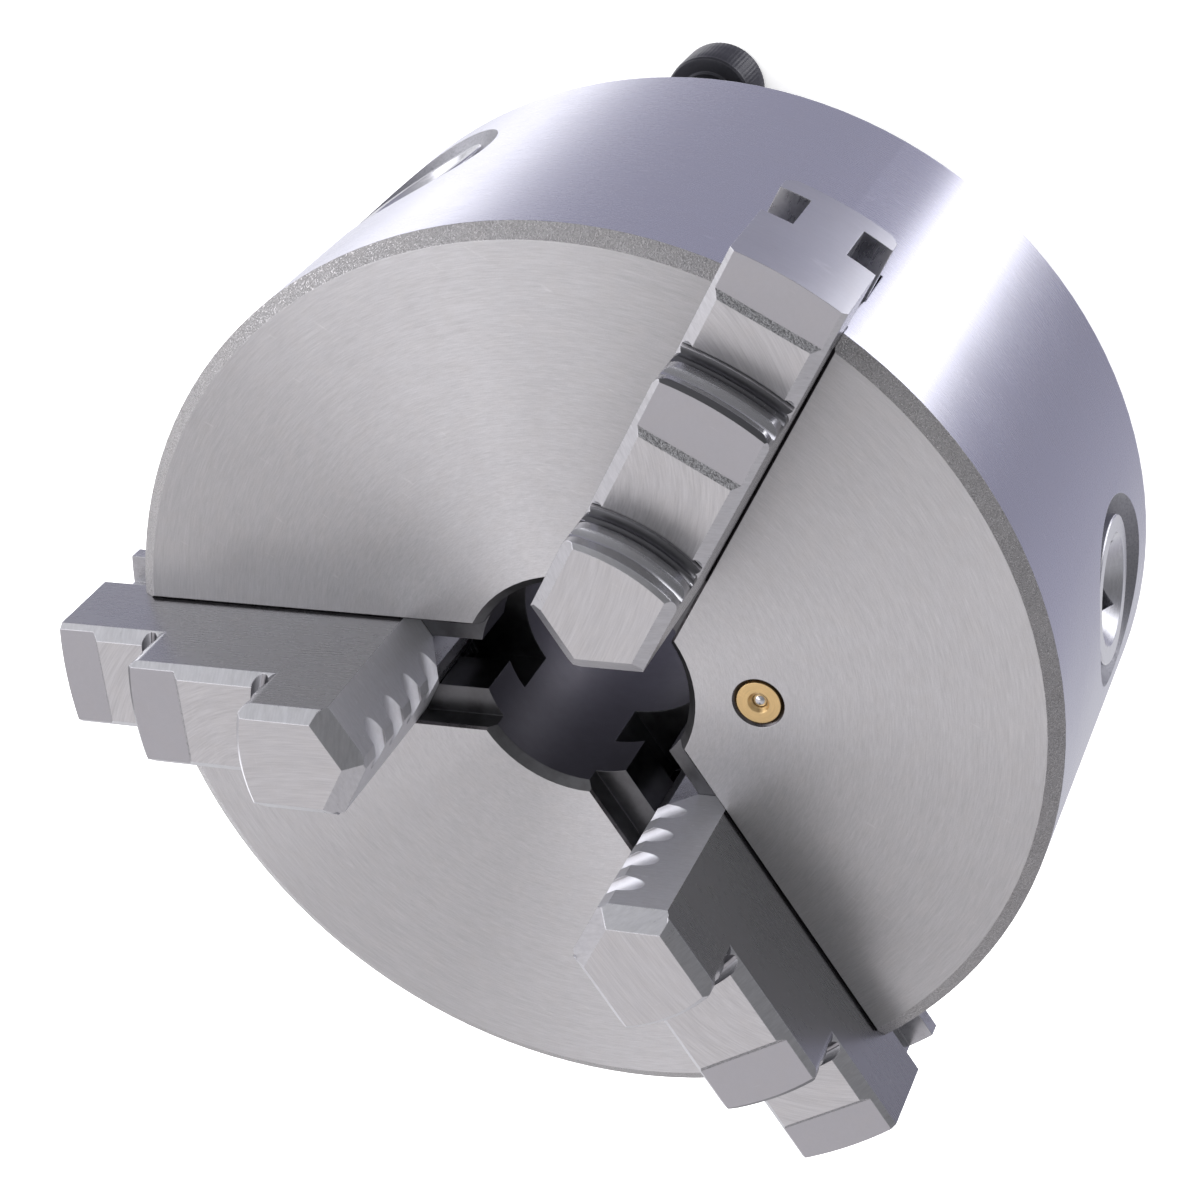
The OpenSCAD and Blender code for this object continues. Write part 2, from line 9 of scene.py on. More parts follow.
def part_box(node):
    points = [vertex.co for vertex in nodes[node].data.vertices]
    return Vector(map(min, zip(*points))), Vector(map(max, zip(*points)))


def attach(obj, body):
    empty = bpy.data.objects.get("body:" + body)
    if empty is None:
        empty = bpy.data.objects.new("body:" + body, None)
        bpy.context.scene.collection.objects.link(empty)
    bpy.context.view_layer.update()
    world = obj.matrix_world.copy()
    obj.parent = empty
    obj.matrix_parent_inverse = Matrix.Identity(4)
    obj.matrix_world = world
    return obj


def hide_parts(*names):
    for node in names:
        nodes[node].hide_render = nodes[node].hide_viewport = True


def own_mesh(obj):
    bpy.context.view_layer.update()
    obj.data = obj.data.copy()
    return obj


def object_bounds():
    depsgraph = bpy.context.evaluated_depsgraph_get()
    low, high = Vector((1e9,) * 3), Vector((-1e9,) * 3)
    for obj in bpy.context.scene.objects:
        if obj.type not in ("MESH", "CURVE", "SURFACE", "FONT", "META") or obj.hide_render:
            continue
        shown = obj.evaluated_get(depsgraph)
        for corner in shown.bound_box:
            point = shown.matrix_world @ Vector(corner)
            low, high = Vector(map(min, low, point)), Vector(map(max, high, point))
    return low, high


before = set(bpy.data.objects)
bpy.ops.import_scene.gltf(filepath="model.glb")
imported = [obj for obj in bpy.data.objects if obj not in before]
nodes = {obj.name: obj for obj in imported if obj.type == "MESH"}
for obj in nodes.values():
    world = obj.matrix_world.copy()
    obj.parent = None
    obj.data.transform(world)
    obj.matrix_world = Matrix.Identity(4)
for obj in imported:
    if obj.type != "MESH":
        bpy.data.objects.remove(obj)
cad_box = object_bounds()

MM = 0.001
FACE_Z = 60.0
BODY_R = 65.0
OILER_R, OILER_ANGLE = 25.1, math.radians(300)


# ---------- material graphs ----------

class Graph:
    """One material's node graph. Values are numbers, tuples or the outputs of other nodes."""

    def __init__(self, name):
        self.material = bpy.data.materials.new(name)
        self.material.use_nodes = True
        self.tree = self.material.node_tree
        self.tree.nodes.clear()
        self.shader = self.tree.nodes.new("ShaderNodeBsdfPrincipled")
        output = self.tree.nodes.new("ShaderNodeOutputMaterial")
        self.tree.links.new(self.shader.outputs[0], output.inputs[0])

    def feed(self, socket, value):
        if isinstance(value, bpy.types.NodeSocket):
            self.tree.links.new(value, socket)
        elif value is not None:
            if hasattr(socket.default_value, "__len__") and not hasattr(value, "__len__"):
                value = (value,) * 3
            if socket.type == "RGBA" and len(value) == 3:
                value = (*value, 1.0)
            socket.default_value = value

    def node(self, kind, inputs, **settings):
        made = self.tree.nodes.new("ShaderNode" + kind)
        for key, value in settings.items():
            setattr(made, key, value)
        for key, value in inputs.items():
            self.feed(made.inputs[key], value)
        return made

    def math(self, operation, a, b=0.0, clamp=False):
        return self.node("Math", {0: a, 1: b}, operation=operation, use_clamp=clamp).outputs[0]

    def add(self, a, b):
        return self.math("ADD", a, b)

    def times(self, a, b):
        return self.math("MULTIPLY", a, b)

    def vector(self, operation, a, b=(0, 0, 0)):
        made = self.node("VectorMath", {0: a, 1: b}, operation=operation)
        return made.outputs["Value" if operation in ("DOT_PRODUCT", "LENGTH") else "Vector"]

    def join(self, x, y, z):
        return self.node("CombineXYZ", {0: x, 1: y, 2: z}).outputs[0]

    def split(self, vector):
        return self.node("SeparateXYZ", {0: vector}).outputs

    def fit(self, value, low, high, to_low=0.0, to_high=1.0, smooth=False):
        made = self.node("MapRange", {"Value": value, "From Min": low, "From Max": high,
                                      "To Min": to_low, "To Max": to_high})
        if smooth:
            made.interpolation_type = "SMOOTHSTEP"
        return made.outputs[0]

    def noise(self, vector, scale, detail=2.0, roughness=0.55):
        return self.node("TexNoise", {"Vector": vector, "Scale": scale, "Detail": detail,
                                      "Roughness": roughness}).outputs["Fac"]

    def mix(self, factor, a, b, blend="MIX"):
        made = self.tree.nodes.new("ShaderNodeMix")
        made.data_type = "RGBA"
        made.blend_type = blend
        self.feed(made.inputs[0], factor)
        self.feed(made.inputs[6], a)
        self.feed(made.inputs[7], b)
        return made.outputs[2]

    def swing(self, value, amount):
        """A factor round 1 that follows a noise value centred on one half."""
        return self.add(1.0 - amount / 2, self.times(value, amount))


def place(graph, angle=0.0, origin=(0, 0, 0)):
    """Object coordinates in millimetres, turned back by angle and measured from origin."""
    point = graph.vector("MULTIPLY", graph.node("TexCoord", {}).outputs["Object"], (1 / MM,) * 3)
    if angle:
        point = graph.node("VectorRotate", {"Vector": point, "Angle": -math.radians(angle)},
                           rotation_type="Z_AXIS").outputs[0]
    return graph.vector("SUBTRACT", point, origin)


def round_lines(across=4.0, along=18.0, twist=0.0, axial=0.0):
    """Tool lines that run round the Z axis of the point, close together across and long along."""
    def build(graph, point):
        x, y, z = graph.split(point)
        radius = graph.vector("LENGTH", graph.join(x, y, 0.0))
        unit = graph.vector("NORMALIZE", graph.join(x, y, 0.0))
        if twist:
            unit = graph.node("VectorRotate", {"Vector": unit, "Angle": graph.times(radius, twist)},
                              rotation_type="Z_AXIS").outputs[0]
        ux, uy, _ = graph.split(unit)
        level = graph.add(graph.times(radius, across), graph.times(z, axial))
        return graph.join(level, graph.times(ux, along), graph.times(uy, along))
    return build


def arc_lines(centre_x, centre_y, across=3.0, along=4.0):
    """Grinding lines that follow arcs round a centre beside the part."""
    def build(graph, point):
        return round_lines(across, along)(graph, graph.vector("SUBTRACT", point, (centre_x, centre_y, 0)))
    return build


def straight_lines(scale):
    """Tool lines along the axis with the smallest scale."""
    def build(graph, point):
        return graph.vector("MULTIPLY", point, scale)
    return build


def metal(name, colour, roughness, lines, line=0.12, grain=0.06, blotch=0.10, pits=0.0, oil=0.0,
          depth=0.004, edge=0.35, edge_radius=0.18, aniso=0.0, angle=0.0, origin=(0, 0, 0),
          metallic=1.0, edge_colour=None, pit_scale=2.2, rough_swing=0.35, tangent=False, scratches=0.25,
          painted_sheen_fans=0.0):
    g = Graph(name)
    point = place(g, angle, origin)
    streak = g.noise(lines(g, point), 1.0, 3.0, 0.6)
    long_streak = g.noise(lines(g, point), 0.31, 2.0, 0.5)
    fine = g.noise(point, 5.0, 2.0, 0.7)
    cloud = g.noise(point, 0.07, 4.0, 0.55)
    stain = g.noise(g.vector("ADD", point, (31.0, 7.0, 3.0)), 0.35, 3.0, 0.6)

    tone = g.times(g.swing(streak, line), g.swing(long_streak, line * 0.35))
    tone = g.times(tone, g.swing(fine, grain))
    tone = g.times(tone, g.swing(cloud, blotch))
    # Painted sheen: when set, the tone is lightened and darkened in sectors and patches round the Z axis.
    # These stand in for the bright fans of light on a turned face.
    if painted_sheen_fans:
        x, y, _ = g.split(point)
        sheen_sectors = g.math("COSINE", g.times(g.math("ARCTAN2", y, x), 4.0))
        patchy_sheen = g.noise(g.vector("NORMALIZE", g.join(x, y, 0.0)), 2.3, 2.0, 0.5)
        tone = g.times(tone, g.math("SUBTRACT", g.swing(patchy_sheen, painted_sheen_fans * 1.5), g.times(sheen_sectors, painted_sheen_fans)))
    height = g.add(g.times(streak, 1.0), g.times(fine, 0.35))
    rough = g.times(g.swing(streak, rough_swing), g.swing(cloud, rough_swing * 0.8))
    rough = g.times(rough, roughness)

    marks = g.fit(g.noise(g.vector("MULTIPLY", point, (0.9, 0.12, 0.5)), 1.7, 1.0, 0.4), 0.70, 0.76)
    marks = g.times(marks, g.fit(stain, 0.45, 0.6))
    tone = g.add(tone, g.times(marks, scratches * 0.4))
    if pits:
        speck = g.fit(g.noise(point, pit_scale, 3.0, 0.75), 0.36, 0.60)
        tone = g.times(tone, g.add(1.0 - pits, g.times(speck, pits * 1.35)))
        height = g.add(height, g.times(speck, 4.0))
        rough = g.add(rough, g.times(g.math("SUBTRACT", 1.0, speck), 0.25))
    base = g.mix(1.0, colour, g.node("CombineColor", {0: tone, 1: tone, 2: tone}).outputs[0], "MULTIPLY")
    warm = g.fit(stain, 0.42, 0.75)
    base = g.mix(g.times(warm, 0.10), base, tuple(c * t for c, t in zip(colour, (1.05, 0.97, 0.86))))
    if oil:
        film = g.times(g.fit(stain, 0.40, 0.62), oil)
        base = g.mix(film, base, tuple(c * 0.22 for c in colour))
        rough = g.times(rough, g.math("SUBTRACT", 1.0, g.times(film, 0.5)))

    rounded = g.node("Bevel", {"Radius": edge_radius * MM}, samples=4).outputs[0]
    if edge:
        flat = g.node("NewGeometry", {}).outputs["Normal"]
        bend = g.math("SUBTRACT", 1.0, g.vector("DOT_PRODUCT", rounded, flat))
        wear = g.fit(g.times(bend, g.add(0.5, fine)), 0.01, 0.14)
        wear = g.times(wear, edge)
        base = g.mix(wear, base, edge_colour or tuple(min(1.0, c * 1.35 + 0.05) for c in colour))
        rough = g.times(rough, g.math("SUBTRACT", 1.0, g.times(wear, 0.4)))
    bump = g.node("Bump", {"Strength": 1.0, "Distance": depth * MM, "Height": height, "Normal": rounded})
    g.feed(g.shader.inputs["Base Color"], base)
    g.feed(g.shader.inputs["Roughness"], g.math("MAXIMUM", rough, 0.04))
    g.feed(g.shader.inputs["Normal"], bump.outputs[0])
    g.shader.inputs["Metallic"].default_value = metallic
    if aniso:
        g.shader.inputs["Anisotropic"].default_value = aniso
        g.shader.inputs["Anisotropic Rotation"].default_value = 0.25
        if tangent:
            g.feed(g.shader.inputs["Tangent"],
                   g.node("Tangent", {}, direction_type="RADIAL", axis="Z").outputs[0])
    return g.material


STEEL = (0.60, 0.595, 0.60)
COOL = (0.53, 0.53, 0.60)
OIL_AND_SHADE = (0.15, 0.14, 0.145)

# Body face: ground steel whose tone carries painted sheen fans round the axis.
face_steel = metal("face_ground", (0.505, 0.50, 0.507), 0.40, round_lines(6.0, 24.0, 0.012), line=0.42,
                   grain=0.20, aniso=0.65, tangent=True, blotch=0.08, painted_sheen_fans=0.11, metallic=0.93)
side_steel = metal("side_turned", COOL, 0.27, round_lines(0.0, 26.0, 0.0, 7.0), line=0.10, grain=0.05,
                   aniso=0.6, tangent=True, blotch=0.06)
rim_steel = metal("rim_chamfer", (0.45, 0.44, 0.44), 0.24, round_lines(3.0, 30.0, 0.0, 3.0), pits=0.22,
                  depth=0.012, line=0.3, edge=0.2, pit_scale=4.0)
# Painted shade: the slot floors and bore edge get a much darker steel than the face, standing for the shade
# down in the jaw slots. The oil film adds real stains.
slot_steel_painted_shade = metal("slot_ground_painted_shade", (0.16, 0.16, 0.165), 0.36, straight_lines((0.3, 0.3, 6.0)), oil=0.25,
                   edge=0.2)
# Partly painted shade: the thin gap faces along the slot edges get near-black steel, standing for the shadow
# in the gap as well as real oil.
gap_oil_and_shade = metal("slot_edge_oil_and_shade", OIL_AND_SHADE, 0.32, straight_lines((1.0, 1.0, 1.0)), oil=0.5, edge=0.0)
# Painted shade: the bore gets a dark steel, standing for the shade inside it, with a light real oil film on
# top.
bore_steel_shaded = metal("bore_oiled_and_shaded", (0.155, 0.15, 0.172), 0.55, round_lines(0.0, 10.0, 0.0, 5.0), oil=0.12,
                   edge=0.15)
rear_steel = metal("rear_turned", (0.57, 0.57, 0.59), 0.30, round_lines(5.0, 8.0), line=0.25, aniso=0.5,
                   tangent=True)
mouth_steel = metal("socket_mouth", (0.30, 0.30, 0.32), 0.34, straight_lines((3.0, 3.0, 3.0)), edge=0.3,
                    pits=0.15, pit_scale=4.0)
cover_steel = metal("cover_turned", (0.50, 0.50, 0.52), 0.28, round_lines(5.0, 10.0), line=0.25, oil=0.25,
                    aniso=0.5, tangent=True)
scroll_steel = metal("scroll_oiled", (0.36, 0.36, 0.38), 0.26, round_lines(3.0, 12.0), oil=0.5)
screw_steel = metal("retaining_screw", (0.42, 0.42, 0.44), 0.34, straight_lines((2.0, 2.0, 2.0)), oil=0.3)
cover_black = metal("cover_screw_oxide", (0.035, 0.035, 0.04), 0.38, straight_lines((2.0, 2.0, 2.0)),
                    edge_colour=(0.16, 0.16, 0.17), metallic=0.85)
ball_steel = metal("ball_polished", (0.72, 0.72, 0.74), 0.12, straight_lines((2.0, 2.0, 2.0)), edge=0.0,
                   depth=0.001)
spring_steel = metal("spring_drawn", (0.42, 0.42, 0.44), 0.3, straight_lines((3.0, 3.0, 0.4)), edge=0.0)
oiler_place = (OILER_R * math.cos(OILER_ANGLE), OILER_R * math.sin(OILER_ANGLE), 0)
brass = metal("oiler_brass_turned", (0.84, 0.60, 0.29), 0.36, round_lines(6.0, 1.2), origin=oiler_place,
              line=0.35, edge_colour=(0.85, 0.66, 0.38))


def dress(node, material):
    mesh = nodes[node].data
    mesh.materials.clear()
    mesh.materials.append(material)


def dress_zones(node, materials, choose, angle=0.0):
    """Gives each face the material that choose names from its centre in mm and its normal."""
    mesh = nodes[node].data
    mesh.materials.clear()
    for material in materials.values():
        mesh.materials.append(material)
    order = {key: i for i, key in enumerate(materials)}
    turn = Matrix.Rotation(-math.radians(angle), 3, "Z")
    for polygon in mesh.polygons:
        centre, normal = turn @ (polygon.center / MM), turn @ polygon.normal
        polygon.material_index = order[choose(centre, normal)]


LEVEL, UPRIGHT = 0.99, 0.97
BORE_EDGE_R, SLOT_INNER_R = 16.6, 15.3
SLOT_FLOOR_Z = 39.9
MOUTH_R, MOUTH_LOW, MOUTH_HIGH = 55, 6, 37
RIM_WIDTH, RIM_HEIGHT = 2.6, 1.6


def body_zone(c, n):
    """Zone of a body face, from its centre c in mm and its normal n."""
    radius = math.hypot(c.x, c.y)
    outward = (c.x * n.x + c.y * n.y) / max(radius, 1e-6)
    if n.z > LEVEL and c.z > FACE_Z - 0.1:
        return "face"
    if n.z < -LEVEL and c.z < 0.1:
        return "rear"
    if outward > UPRIGHT and radius > BODY_R - 0.6:
        return "side"
    if c.z > FACE_Z - 0.5 and abs(n.z) < 0.95 and BORE_EDGE_R < radius < BODY_R - 2.5:
        return "gap"
    if radius > BODY_R - RIM_WIDTH and (c.z > FACE_Z - RIM_HEIGHT or c.z < RIM_HEIGHT) and abs(n.z) > 0.2:
        return "rim"
    sector = math.radians(60 + 120 * round((math.degrees(math.atan2(c.y, c.x)) - 60) / 120))
    facing = n.x * math.cos(sector) + n.y * math.sin(sector)
    if radius > MOUTH_R and MOUTH_LOW < c.z < MOUTH_HIGH and facing > 0.15:
        return "mouth"
    if c.z > SLOT_FLOOR_Z and radius > SLOT_INNER_R:
        return "slot"
    return "bore"


dress_zones("chuck_body", {"face": face_steel, "side": side_steel, "rim": rim_steel, "gap": gap_oil_and_shade,
                           "slot": slot_steel_painted_shade, "bore": bore_steel_shaded, "rear": rear_steel, "mouth": mouth_steel},
            body_zone)
dress("rear_cover", cover_steel)
dress("scroll", scroll_steel)
dress("oiler_body", brass)
dress("oiler_ball", ball_steel)
dress("oiler_spring", spring_steel)

# ---------- jaws ----------

RAMPS = (50.0, 66.6)
SEATS = (78.4, 70.4)
ROOT = 2.2
CROWN_Z, END_X, GUIDE_Z = 85, 70, 56.6
RAMP_LOW_Z, NOSE_X, NOSE_Z, CHAMFER_Z = 69, 24, 84, 84
ROOT_BELOW = -1.6


def jaw_zone(c, n):
    """Zone of a jaw face, from its centre c in mm and its normal n, both turned back to jaw 1."""
    if n.z > 0.985 and c.z > FACE_Z:
        if c.z > CROWN_Z:
            return "crown"
        return "seat" if min(abs(c.z - seat) for seat in SEATS) < 0.2 else "pad"
    if c.x > END_X and n.x > 0.9:
        return "end"
    if c.z < GUIDE_Z:
        return "guide"
    on_ramp = min(abs(c.x - ramp) for ramp in RAMPS) < 0.5
    if n.z > 0.25 and abs(n.y) < 0.2 and c.z > RAMP_LOW_Z and on_ramp:
        return "ramp"
    if n.z > 0.3 and c.x < NOSE_X and c.z < NOSE_Z:
        return "nose"
    if n.z > 0.3 and (abs(n.y) > 0.3 or c.z > CHAMFER_Z):
        return "chamfer"
    if abs(n.y) > 0.985:
        return "flank"
    if n.x < -0.3:
        return "nose"
    return "root" if any(ROOT_BELOW < c.z - seat < ROOT for seat in SEATS) else "wall"


for number in (1, 2, 3):
    turn = 120.0 * (number - 1)
    mark = f"jaw_{number}_"
    zones = {
        "crown": metal(mark + "crown", STEEL, 0.33, arc_lines(24.0, 70.0, 4.2, 14.0), line=0.42,
                       grain=0.12, edge=0.15, edge_radius=0.1, angle=turn),
        "seat": metal(mark + "seat", STEEL, 0.33, arc_lines(38.0, 16.0, 4.2, 6.0), line=0.5, grain=0.12,
                      edge=0.15, edge_radius=0.1, angle=turn),
        "pad": metal(mark + "pad", (0.475, 0.47, 0.49), 0.36, straight_lines((1.5, 1.5, 1.5)), line=0.08,
                     grain=0.06, blotch=0.06, edge=0.2, edge_radius=0.15, angle=turn),
        # Painted shade: the relief groove at the foot of each wall gets a near-black steel, standing for the
        # shade down in the groove.
        "root": metal(mark + "root", (0.16, 0.16, 0.17), 0.32, straight_lines((0.5, 0.5, 4.0)), line=0.25,
                      edge=0.0, angle=turn),
        "ramp": metal(mark + "ramp", (0.52, 0.52, 0.53), 0.36, straight_lines((2.0, 2.0, 2.0)), pits=0.45,
                      depth=0.02, angle=turn, pit_scale=3.2),
        "chamfer": metal(mark + "chamfer", (0.58, 0.58, 0.60), 0.30, straight_lines((3.0, 0.6, 0.6)),
                         line=0.4, angle=turn),
        "end": metal(mark + "end", (0.52, 0.52, 0.55), 0.32, straight_lines((1.0, 0.5, 4.0)), line=0.14,
                     blotch=0.06, grain=0.08, angle=turn),
        "flank": metal(mark + "flank", (0.36, 0.36, 0.375), 0.28, straight_lines((0.25, 1.0, 3.0)),
                       line=0.07, grain=0.03, blotch=0.10, depth=0.0012, angle=turn),
        "nose": metal(mark + "nose", (0.62, 0.62, 0.66), 0.46, straight_lines((1.0, 0.8, 5.0)), line=0.3,
                      angle=turn, metallic=0.8),
        "wall": metal(mark + "wall", (0.46, 0.46, 0.48), 0.26, straight_lines((0.5, 0.5, 4.0)), line=0.25,
                      grain=0.06, angle=turn),
        "guide": metal(mark + "guide", (0.50, 0.50, 0.52), 0.30, straight_lines((0.3, 3.0, 3.0)), oil=0.25,
                       angle=turn),
    }
    dress_zones(f"jaw_{number}", zones, jaw_zone, turn)

for number in (1, 2, 3):
    turn = 60.0 + 120.0 * (number - 1)
    dress(f"pinion_{number}", metal(f"pinion_{number}_turned", (0.58, 0.58, 0.61), 0.24,
                                    straight_lines((4.0, 0.8, 0.8)), line=0.25, edge=0.5, angle=turn))
    dress(f"pinion_screw_{number}", screw_steel)
    dress(f"cover_screw_{number}", cover_black)

# ---------- mounting screws ----------

black_oxide = metal("mounting_screw_oxide", (0.030, 0.030, 0.036), 0.42, straight_lines((1.5, 1.5, 3.0)),
                    line=0.5, grain=0.3, blotch=0.4, edge=0.4, edge_colour=(0.16, 0.16, 0.17), metallic=0.7,
                    depth=0.004)

HEAD_R, HEAD_H, STAND_OFF, HEX = 6.5, 8.0, 11.0, 6.0
THREAD_R, ROOT_R, PITCH, TIP_Z = 4.0, 3.28, 1.25, 15.0
KNURLS, KNURL_DEPTH = 72, 0.05
SCREW_CIRCLE_R = 57.5


def lathe(rings, segments, radius_of=None):
    """Vertices and faces of rings (radius, height) joined in order and left open at both ends."""
    points, faces = [], []
    for k, (radius, height) in enumerate(rings):
        for i in range(segments):
            a = 2 * math.pi * i / segments
            r = radius_of(k, i, a, radius) if radius_of else radius
            points.append((r * math.cos(a), r * math.sin(a), height))
    for k in range(len(rings) - 1):
        for i in range(segments):
            j = (i + 1) % segments
            faces.append((k * segments + i, k * segments + j, (k + 1) * segments + j, (k + 1) * segments + i))
    return points, faces


def mounting_screw(name):
    """A socket head screw along +Z with knurled head, hexagon socket and a real thread."""
    low, high = -STAND_OFF - HEAD_H, -STAND_OFF
    segments = KNURLS * 4
    hex_r = HEX / 2

    def shaped(k, i, a, radius):
        if 5 <= k <= 10:
            groove = (0.5 - 0.5 * math.cos(a * KNURLS)) * KNURL_DEPTH
            return radius - groove * (1.0 if 6 <= k <= 9 else 0.4)
        if k <= 1:
            sector = (a % (math.pi / 3)) - math.pi / 6
            return hex_r / math.cos(sector) * (1.0 if k == 1 else 0.985)
        return radius

    rings = [(0, low + 4.2), (0, low + 0.35), (3.75, low + 0.0), (5.5, low + 0.0), (5.95, low + 0.12),
             (6.34, low + 0.55), (6.5, low + 0.95), (6.5, low + 2.9), (6.5, low + 4.9), (6.5, high - 1.3),
             (6.40, high - 0.9), (6.42, high - 0.45), (6.2, high - 0.08), (5.9, high), (4.35, high),
             (4.02, high + 0.3)]
    points, faces = lathe(rings, segments, shaped)
    base = len(points)
    points.append((0, 0, low + 4.9))
    faces += [(base, (i + 1) % segments, i) for i in range(segments)]
    last = (len(rings) - 1) * segments

    around = 60
    start = high + 0.3
    rows = int((TIP_Z - start) / (PITCH / 4)) + 5
    offset = len(points)
    profile = (ROOT_R, (ROOT_R + THREAD_R) / 2, THREAD_R, (ROOT_R + THREAD_R) / 2)
    for k in range(rows):
        for i in range(around):
            a = 2 * math.pi * i / around
            z = start + (k - 4) * PITCH / 4 + PITCH * i / around
            r = profile[k % 4] if z > start + 2.2 else max(profile[k % 4], THREAD_R - 0.02)
            taper = max(0.0, z - (TIP_Z - 0.9))
            r = min(r, THREAD_R - taper)
            z = min(max(z, start - 0.3), TIP_Z)
            points.append((r * math.cos(a), r * math.sin(a), z))
    for k in range(rows - 1):
        for i in range(around):
            near = offset + k * around + i
            if i + 1 < around:
                faces.append((near, near + 1, near + 1 + around, near + around))
            elif k + 5 < rows:
                faces.append((near, offset + (k + 4) * around, offset + (k + 5) * around, near + around))
    tip = len(points)
    points.append((0, 0, TIP_Z))
    mesh = bpy.data.meshes.new(name)
    edge = [offset + (rows - 1) * around + i for i in range(around)]
    faces += [(edge[i], edge[i + 1], tip) for i in range(around - 1)]
    mesh.from_pydata([tuple(c * MM for c in p) for p in points], [], faces)
    mesh.validate()
    mesh.update()
    mesh.polygons.foreach_set("use_smooth", [True] * len(mesh.polygons))
    mesh.set_sharp_from_angle(angle=math.radians(32))
    return mesh


for number in (1, 2, 3):
    angle = math.radians(30 + 120 * (number - 1))
    mesh = mounting_screw(f"socket_screw_{number}")
    circle_r = SCREW_CIRCLE_R * MM
    mesh.transform(Matrix.Translation(Vector((circle_r * math.cos(angle), circle_r * math.sin(angle), 0)))
                   @ Matrix.Rotation(0.4 * number, 4, "Z"))
    mesh.materials.append(black_oxide)
    screw = bpy.data.objects.new(f"socket_screw_{number}", mesh)
    bpy.context.scene.collection.objects.link(screw)
    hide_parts(f"mounting_screw_{number}")
    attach(screw, "body")

# ---------- oiler spring ----------

COIL_R, WIRE_R, TURNS, DEAD_TURNS = 0.80, 0.12, 5.0, 0.8


def coil(name, low, high):
    """A compression spring of round wire with its end turns closed, from low up to high."""
    steps, around = 160, 10
    start, end = low.z / MM + WIRE_R, high.z / MM - WIRE_R
    centre_x, centre_y = (low.x + high.x) / 2 / MM, (low.y + high.y) / 2 / MM
    points, faces = [], []
    for k in range(steps + 1):
        turn = TURNS * k / steps
        a = 2 * math.pi * turn
        rise = min(max((turn - DEAD_TURNS) / (TURNS - 2 * DEAD_TURNS), 0.0), 1.0)
        z = start + (end - start) * rise
        for i in range(around):
            b = 2 * math.pi * i / around
            r = COIL_R + WIRE_R * math.cos(b)
            points.append((centre_x + r * math.cos(a), centre_y + r * math.sin(a), z + WIRE_R * math.sin(b)))
    for k in range(steps):
        for i in range(around):
            j = (i + 1) % around
            near, far = k * around, (k + 1) * around
            faces.append((near + j, near + i, far + i, far + j))
    faces.append(tuple(range(around)))
    faces.append(tuple(steps * around + i for i in reversed(range(around))))
    mesh = bpy.data.meshes.new(name)
    mesh.from_pydata([tuple(c * MM for c in p) for p in points], [], faces)
    mesh.update()
    mesh.polygons.foreach_set("use_smooth", [True] * len(mesh.polygons))
    return mesh


spring_low, spring_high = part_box("oiler_spring")
spring = bpy.data.objects.new("oiler_coil", coil("oiler_coil", spring_low, spring_high))
spring.data.materials.append(spring_steel)
bpy.context.scene.collection.objects.link(spring)
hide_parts("oiler_spring")
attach(spring, "body")
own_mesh(spring)

# ---------- studio ----------

floor_mesh = bpy.data.meshes.new("floor")
half = 6.0
floor_z = cad_box[0].z
floor_mesh.from_pydata([(-half, -half, floor_z), (half, -half, floor_z), (half, half, floor_z),
                        (-half, half, floor_z)], [], [(0, 1, 2, 3)])
floor = bpy.data.objects.new("floor", floor_mesh)
bpy.context.scene.collection.objects.link(floor)
paper = Graph("floor_paper")
shade = paper.noise(place(paper), 0.02, 3.0)
paper.feed(paper.shader.inputs["Base Color"], paper.mix(shade, (0.93, 0.93, 0.93), (0.96, 0.96, 0.96)))
paper.feed(paper.shader.inputs["Roughness"], paper.fit(shade, 0, 1, 0.7, 0.9))
paper.shader.inputs["Emission Color"].default_value = (1.0, 1.0, 1.0, 1.0)
paper.shader.inputs["Emission Strength"].default_value = 0.35
floor_mesh.materials.append(paper.material)
floor.visible_glossy = False


def ramp(tree, value, stops):
    """Colour ramp from a list of (position, brightness, tint)."""
    made = tree.nodes.new("ShaderNodeValToRGB")
    made.color_ramp.interpolation = "EASE"
    points = made.color_ramp.elements
    while len(points) < len(stops):
        points.new(0.5)
    for point, (position, level, tint) in zip(points, stops):
        point.position = position
        point.color = (level * tint[0], level * tint[1], level * tint[2], 1.0)
    tree.links.new(value, made.inputs[0])
    return made.outputs[0]


LAVENDER = (0.95, 0.94, 1.14)
WHITE = (1.0, 1.0, 1.04)
WARM = (1.02, 0.99, 1.03)


def ramp_place(azimuth):
    """Ramp position of an azimuth in degrees, from -180 to 180."""
    return (azimuth + 180.0) / 360.0


world = bpy.data.worlds.new("studio")
bpy.context.scene.world = world
world.use_nodes = True
tree = world.node_tree
tree.nodes.clear()
coords = tree.nodes.new("ShaderNodeTexCoord")
parts = tree.nodes.new("ShaderNodeSeparateXYZ")
tree.links.new(coords.outputs["Generated"], parts.inputs[0])
azimuth = tree.nodes.new("ShaderNodeMath")
azimuth.operation = "ARCTAN2"
tree.links.new(parts.outputs["Y"], azimuth.inputs[0])
tree.links.new(parts.outputs["X"], azimuth.inputs[1])
turned = tree.nodes.new("ShaderNodeMapRange")
tree.links.new(azimuth.outputs[0], turned.inputs["Value"])
turned.inputs["From Min"].default_value = -math.pi
turned.inputs["From Max"].default_value = math.pi
low = ramp(tree, turned.outputs[0], [(ramp_place(a), v, t) for a, v, t in (
    (-180, 0.75, WHITE), (-135, 0.85, WHITE), (-98, 0.55, LAVENDER), (-63, 0.42, LAVENDER),
    (-45, 0.60, LAVENDER),
    (-38, 1.0, WHITE), (-31, 3.2, WHITE), (-17, 3.2, WHITE), (-8, 0.62, LAVENDER), (20, 0.50, LAVENDER),
    (60, 0.50, LAVENDER), (88, 0.58, LAVENDER), (101, 2.4, WHITE), (112, 2.4, WHITE), (123, 0.80, WHITE),
    (143, 0.82, WHITE), (156, 1.9, WHITE), (180, 0.75, WHITE))])
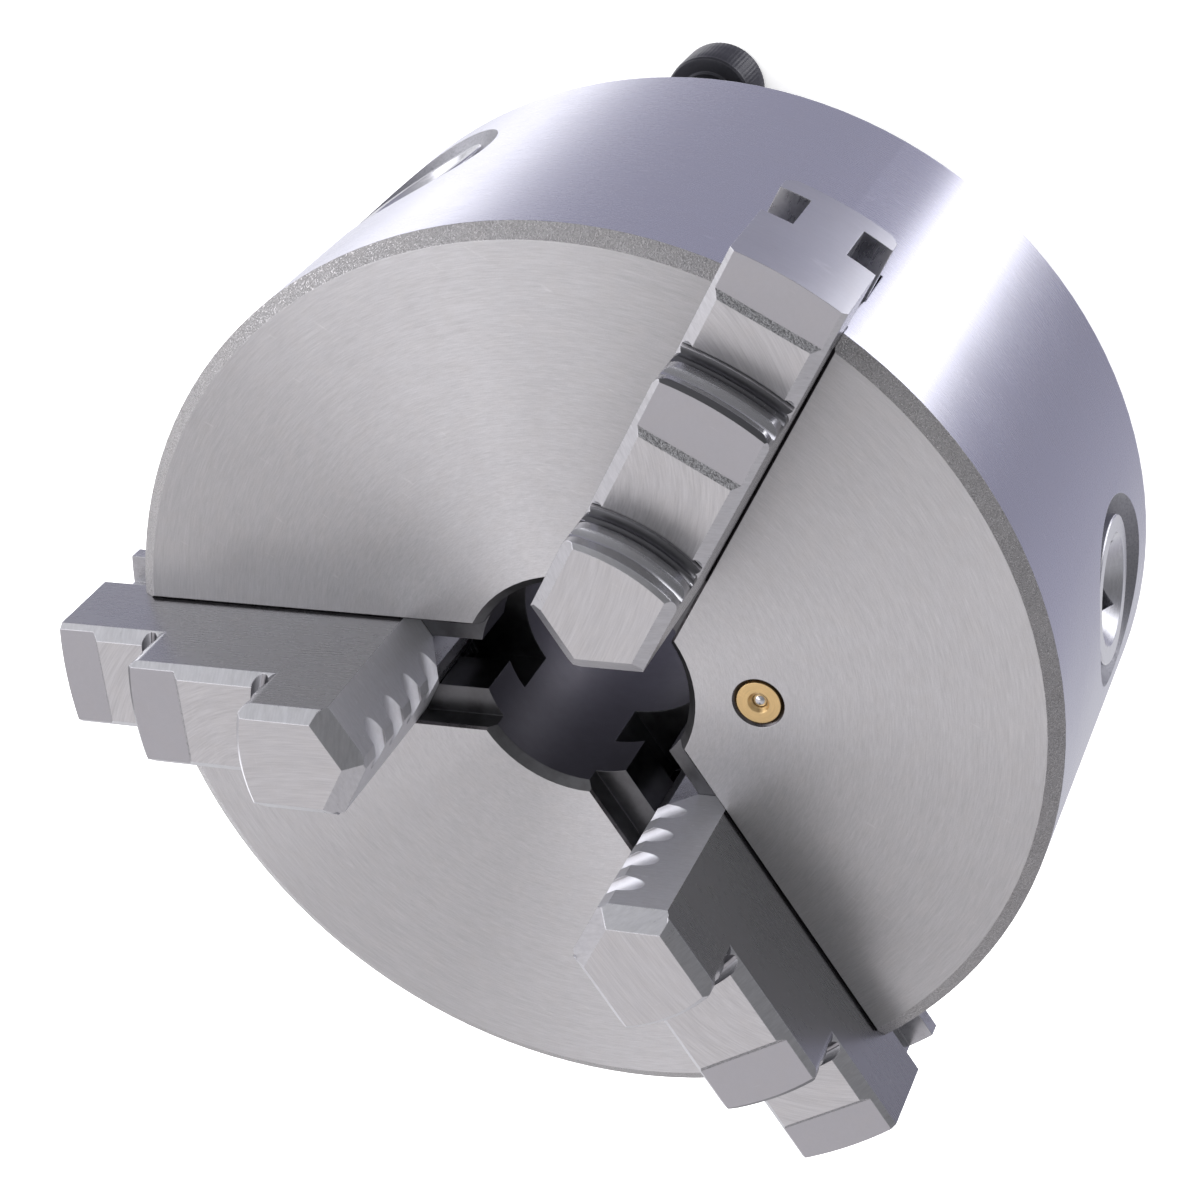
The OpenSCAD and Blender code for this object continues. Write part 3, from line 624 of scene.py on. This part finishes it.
high = ramp(tree, turned.outputs[0], [(ramp_place(a), v, t) for a, v, t in (
    (-180, 0.82, WARM), (-125, 0.60, WARM), (-90, 0.50, WHITE), (-62, 0.27, WHITE), (-45, 0.26, WHITE),
    (-20, 0.28, WHITE), (5, 0.34, WHITE), (40, 0.55, WHITE), (72, 0.80, WHITE), (85, 2.60, WHITE),
    (100, 2.60, WHITE), (114, 0.90, WARM), (125, 0.78, WARM), (180, 0.80, WARM))])
lift = tree.nodes.new("ShaderNodeMapRange")
lift.interpolation_type = "SMOOTHSTEP"
tree.links.new(parts.outputs["Z"], lift.inputs["Value"])
lift.inputs["From Min"].default_value = -0.5
lift.inputs["From Max"].default_value = 0.1
blend = tree.nodes.new("ShaderNodeMix")
blend.data_type = "RGBA"
tree.links.new(lift.outputs[0], blend.inputs[0])
tree.links.new(low, blend.inputs[6])
tree.links.new(high, blend.inputs[7])
background = tree.nodes.new("ShaderNodeBackground")
tree.links.new(blend.outputs[2], background.inputs[0])
output = tree.nodes.new("ShaderNodeOutputWorld")
tree.links.new(background.outputs[0], output.inputs[0])


def softbox(name, place_at, aim, size, size_y, watts):
    lamp = bpy.data.lights.new(name, "AREA")
    lamp.shape = "RECTANGLE"
    lamp.size, lamp.size_y = size, size_y
    lamp.energy = watts
    made = bpy.data.objects.new(name, lamp)
    made.location = place_at
    made.rotation_mode = "QUATERNION"
    made.rotation_quaternion = (Vector(aim) - Vector(place_at)).to_track_quat("-Z", "Y")
    bpy.context.scene.collection.objects.link(made)
    return made


wash = softbox("floor_wash", (0, 0, 1.3), (0, 0, 0), 3.2, 3.2, 80.0)
wash.visible_glossy = False

camera_data = bpy.data.cameras.new("camera")
camera_data.sensor_width = 36.0
camera_data.lens = 82.85
camera_data.clip_start = 0.01
camera_data.clip_end = 50.0
camera = bpy.data.objects.new("camera", camera_data)
right = Vector((0.38438, -0.85877, -0.33876))
up = Vector((0.72655, 0.50779, -0.46289))
back = Vector((0.56954, -0.06820, 0.81913))
camera.matrix_world = Matrix.Translation(Vector((0.218677, -0.021736, 0.354534))) @ Matrix(
    (right, up, back)).transposed().to_4x4()
bpy.context.scene.collection.objects.link(camera)
bpy.context.scene.camera = camera
bpy.context.scene.view_settings.view_transform = "Standard"
